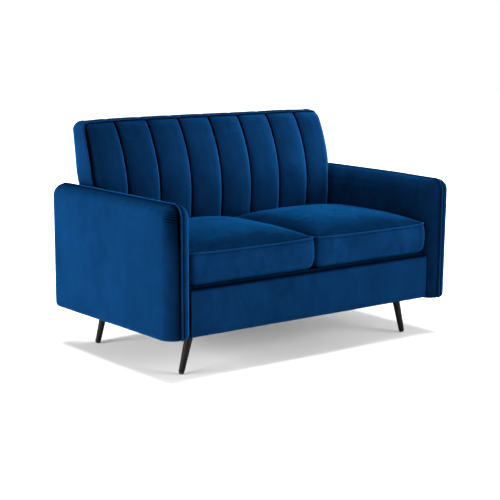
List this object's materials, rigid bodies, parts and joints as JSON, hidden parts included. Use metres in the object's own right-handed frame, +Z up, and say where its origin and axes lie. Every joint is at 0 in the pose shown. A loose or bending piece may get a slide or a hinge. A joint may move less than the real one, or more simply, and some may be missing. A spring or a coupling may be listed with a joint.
{
  "type": "two-seat sofa",
  "caption": "Compact velvet two-seat sofa with slab arms, upright channels on a raked back, loose crowned seat cushions and splayed round black legs.",
  "frame": {"origin": "on the floor, under the middle of the sofa's overall box", "axes": "+Z up, +X along the width to the right as seen from the front, -Y towards the front (the sofa faces -Y)"},
  "size_m": [1.29, 0.806, 0.836],
  "materials": {
    "velvet": "short-pile blue velvet with a directional sheen",
    "piping": "velvet-covered piping cord",
    "timber": "planed softwood, unfinished",
    "leg_wood": "turned wood, satin black lacquer",
    "foam": "open-cell upholstery foam",
    "dust_cloth": "black non-woven dust cloth",
    "webbing": "woven elastic strap",
    "spring_steel": "drawn spring wire, zinc plated",
    "fastener_steel": "zinc plated",
    "plate_steel": "black powder coat",
    "glide": "moulded black nylon",
    "zip_tape": "woven navy tape with coil teeth",
    "zip_metal": "dark nickel"
  },
  "bodies": {
    "frame": {"front_rail": "timber", "rear_rail": "timber", "side_rail_left": "timber", "side_rail_right": "timber", "centre_brace": "timber", "corner_blocks": "timber", "seat_springs": "spring_steel", "spring_clips": "spring_steel", "deck_pad": "foam", "front_rail_foam": "foam", "front_rail_cover": "velvet", "dust_cover": "dust_cloth", "arm_frame_left": "timber", "arm_frame_right": "timber", "arm_foam_left": "foam", "arm_foam_right": "foam", "arm_outer_cover_left": "velvet", "arm_outer_cover_right": "velvet", "arm_inner_cover_left": "velvet", "arm_inner_cover_right": "velvet", "arm_piping_left": "piping", "arm_piping_right": "piping", "back_post_left": "timber", "back_post_right": "timber", "back_top_rail": "timber", "back_webbing": "webbing", "back_foam": "foam", "back_channel_1": "velvet", "back_channel_2": "velvet", "back_channel_3": "velvet", "back_channel_4": "velvet", "back_channel_5": "velvet", "back_channel_6": "velvet", "back_channel_7": "velvet", "back_channel_8": "velvet", "back_boxing": "velvet", "back_rear_panel": "velvet", "back_piping": "piping", "arm_bolts": "fastener_steel", "back_bolts": "fastener_steel", "threaded_inserts": "fastener_steel", "leg_front_left": "leg_wood", "leg_front_right": "leg_wood", "leg_rear_left": "leg_wood", "leg_rear_right": "leg_wood", "leg_plates": "plate_steel", "leg_plate_screws": "fastener_steel", "leg_hanger_bolts": "fastener_steel", "foot_glides": "glide"},
    "cushion_left": {"cushion_foam_left": "foam", "cushion_cover_left": "velvet", "cushion_piping_left": "piping", "cushion_zip_left": "zip_tape"},
    "cushion_right": {"cushion_foam_right": "foam", "cushion_cover_right": "velvet", "cushion_piping_right": "piping", "cushion_zip_right": "zip_tape"},
    "slider_left": {"zip_slider_left": "zip_metal"},
    "slider_right": {"zip_slider_right": "zip_metal"}
  },
  "joints": [
    {"name": "cushion_left_lift", "type": "slide", "parent": "frame", "child": "cushion_left", "axis": [0, 0, 1], "range_m": [0, 0.25]},
    {"name": "zip_left_slide", "type": "slide", "parent": "cushion_left", "child": "slider_left", "axis": [1, 0, 0], "range_m": [0, 0.41]},
    {"name": "cushion_right_lift", "type": "slide", "parent": "frame", "child": "cushion_right", "axis": [0, 0, 1], "range_m": [0, 0.25]},
    {"name": "zip_right_slide", "type": "slide", "parent": "cushion_right", "child": "slider_right", "axis": [1, 0, 0], "range_m": [0, 0.41]}
  ]
}
